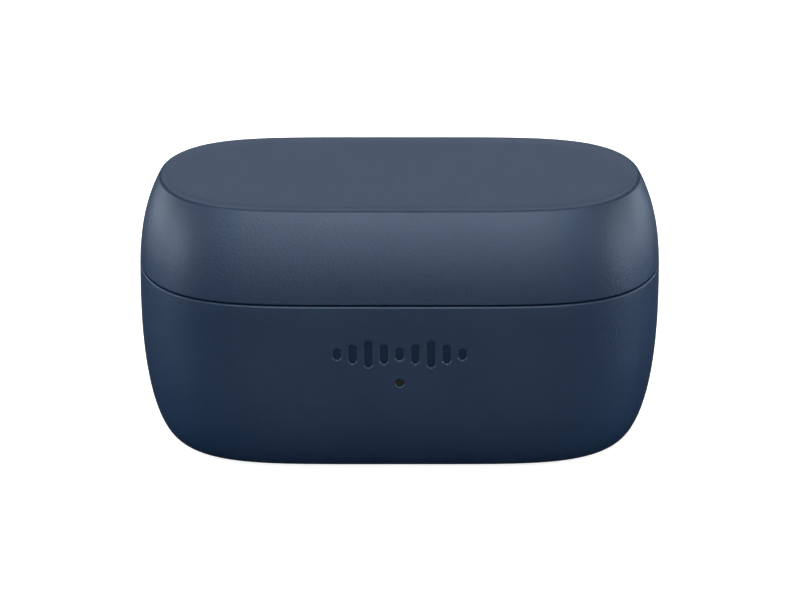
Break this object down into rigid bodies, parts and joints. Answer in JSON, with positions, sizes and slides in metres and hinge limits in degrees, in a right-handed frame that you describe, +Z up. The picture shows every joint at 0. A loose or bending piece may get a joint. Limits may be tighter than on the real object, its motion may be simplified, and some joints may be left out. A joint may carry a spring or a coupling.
{
  "type": "wireless earbuds charging case",
  "caption": "Rounded oblong charging case for a pair of earbuds, with a flat hinged lid, a status light in front, sprung charging contacts inside and a socket at the back.",
  "frame": {"origin": "middle of the flat underside", "axes": "+Z up, +X along the length, -Y towards the front with the status light, +Y towards the hinge and the charging socket"},
  "size_m": [0.0642, 0.0284, 0.0346],
  "materials": {
    "shell": "fine matt moulded texture, dark navy blue",
    "tray": "fine matt moulded texture, dark navy blue",
    "hinge_steel": "turned, bare",
    "spring_steel": "drawn wire",
    "magnet_plating": "nickel plated, satin",
    "contact_plating": "gold plated",
    "contact_block": "fine moulded, black",
    "circuit_board": "solder mask, green",
    "chip_black": "moulded, black",
    "ferrite": "sintered, dull grey",
    "capacitor": "tan",
    "light_body": "pale",
    "clear_plastic": "smoked clear plastic, polished",
    "flat_cable": "amber film",
    "connector": "moulded, ivory",
    "socket_steel": "drawn stainless",
    "battery_foil": "laminated foil, satin",
    "foam": "closed-cell foam tape, black",
    "lead_red": "silicone insulation, red",
    "lead_black": "silicone insulation, black",
    "screw_steel": "machined, dark zinc"
  },
  "bodies": {
    "base": {"base_shell": "shell", "earbud_tray": "tray", "hinge_pin": "hinge_steel", "hinge_spring": "spring_steel", "tray_closure_magnet": "magnet_plating", "main_board": "circuit_board", "board_screws": "screw_steel", "charge_controller": "chip_black", "power_inductor": "ferrite", "hall_sensor": "chip_black", "status_led": "light_body", "chip_capacitors": "capacitor", "light_pipe": "clear_plastic", "charging_socket_shell": "socket_steel", "charging_socket_tongue": "contact_block", "charging_socket_contacts": "contact_plating", "battery_pad": "foam", "battery_cell": "battery_foil", "battery_guard_board": "circuit_board", "battery_lead_positive": "lead_red", "battery_lead_negative": "lead_black", "battery_connector": "connector", "earbud_magnet_left": "magnet_plating", "contact_block_left": "contact_block", "contact_barrels_left": "contact_plating", "contact_board_left": "circuit_board", "contact_flex_left": "flat_cable", "flex_socket_left": "connector", "contact_spring_left_front": "spring_steel", "contact_spring_left_rear": "spring_steel", "earbud_magnet_right": "magnet_plating", "contact_block_right": "contact_block", "contact_barrels_right": "contact_plating", "contact_board_right": "circuit_board", "contact_flex_right": "flat_cable", "flex_socket_right": "connector", "contact_spring_right_front": "spring_steel", "contact_spring_right_rear": "spring_steel"},
    "lid": {"lid_shell": "shell", "lid_liner": "tray", "lid_closure_magnet": "magnet_plating"},
    "contact_left_front": {"contact_pin_left_front": "contact_plating"},
    "contact_left_rear": {"contact_pin_left_rear": "contact_plating"},
    "contact_right_front": {"contact_pin_right_front": "contact_plating"},
    "contact_right_rear": {"contact_pin_right_rear": "contact_plating"}
  },
  "joints": [
    {"name": "lid_hinge", "type": "hinge", "parent": "base", "child": "lid", "pos_m": [0, 0.0132, 0.0234], "axis": [-1, 0, 0], "range_deg": [0, 95]},
    {"name": "contact_left_front_slide", "type": "slide", "parent": "base", "child": "contact_left_front", "axis": [0, 0, -1], "range_m": [0, 0.0007], "stiffness_N_per_m": 200, "deforming": ["contact_spring_left_front"]},
    {"name": "contact_left_rear_slide", "type": "slide", "parent": "base", "child": "contact_left_rear", "axis": [0, 0, -1], "range_m": [0, 0.0007], "stiffness_N_per_m": 200, "deforming": ["contact_spring_left_rear"]},
    {"name": "contact_right_front_slide", "type": "slide", "parent": "base", "child": "contact_right_front", "axis": [0, 0, -1], "range_m": [0, 0.0007], "stiffness_N_per_m": 200, "deforming": ["contact_spring_right_front"]},
    {"name": "contact_right_rear_slide", "type": "slide", "parent": "base", "child": "contact_right_rear", "axis": [0, 0, -1], "range_m": [0, 0.0007], "stiffness_N_per_m": 200, "deforming": ["contact_spring_right_rear"]}
  ]
}
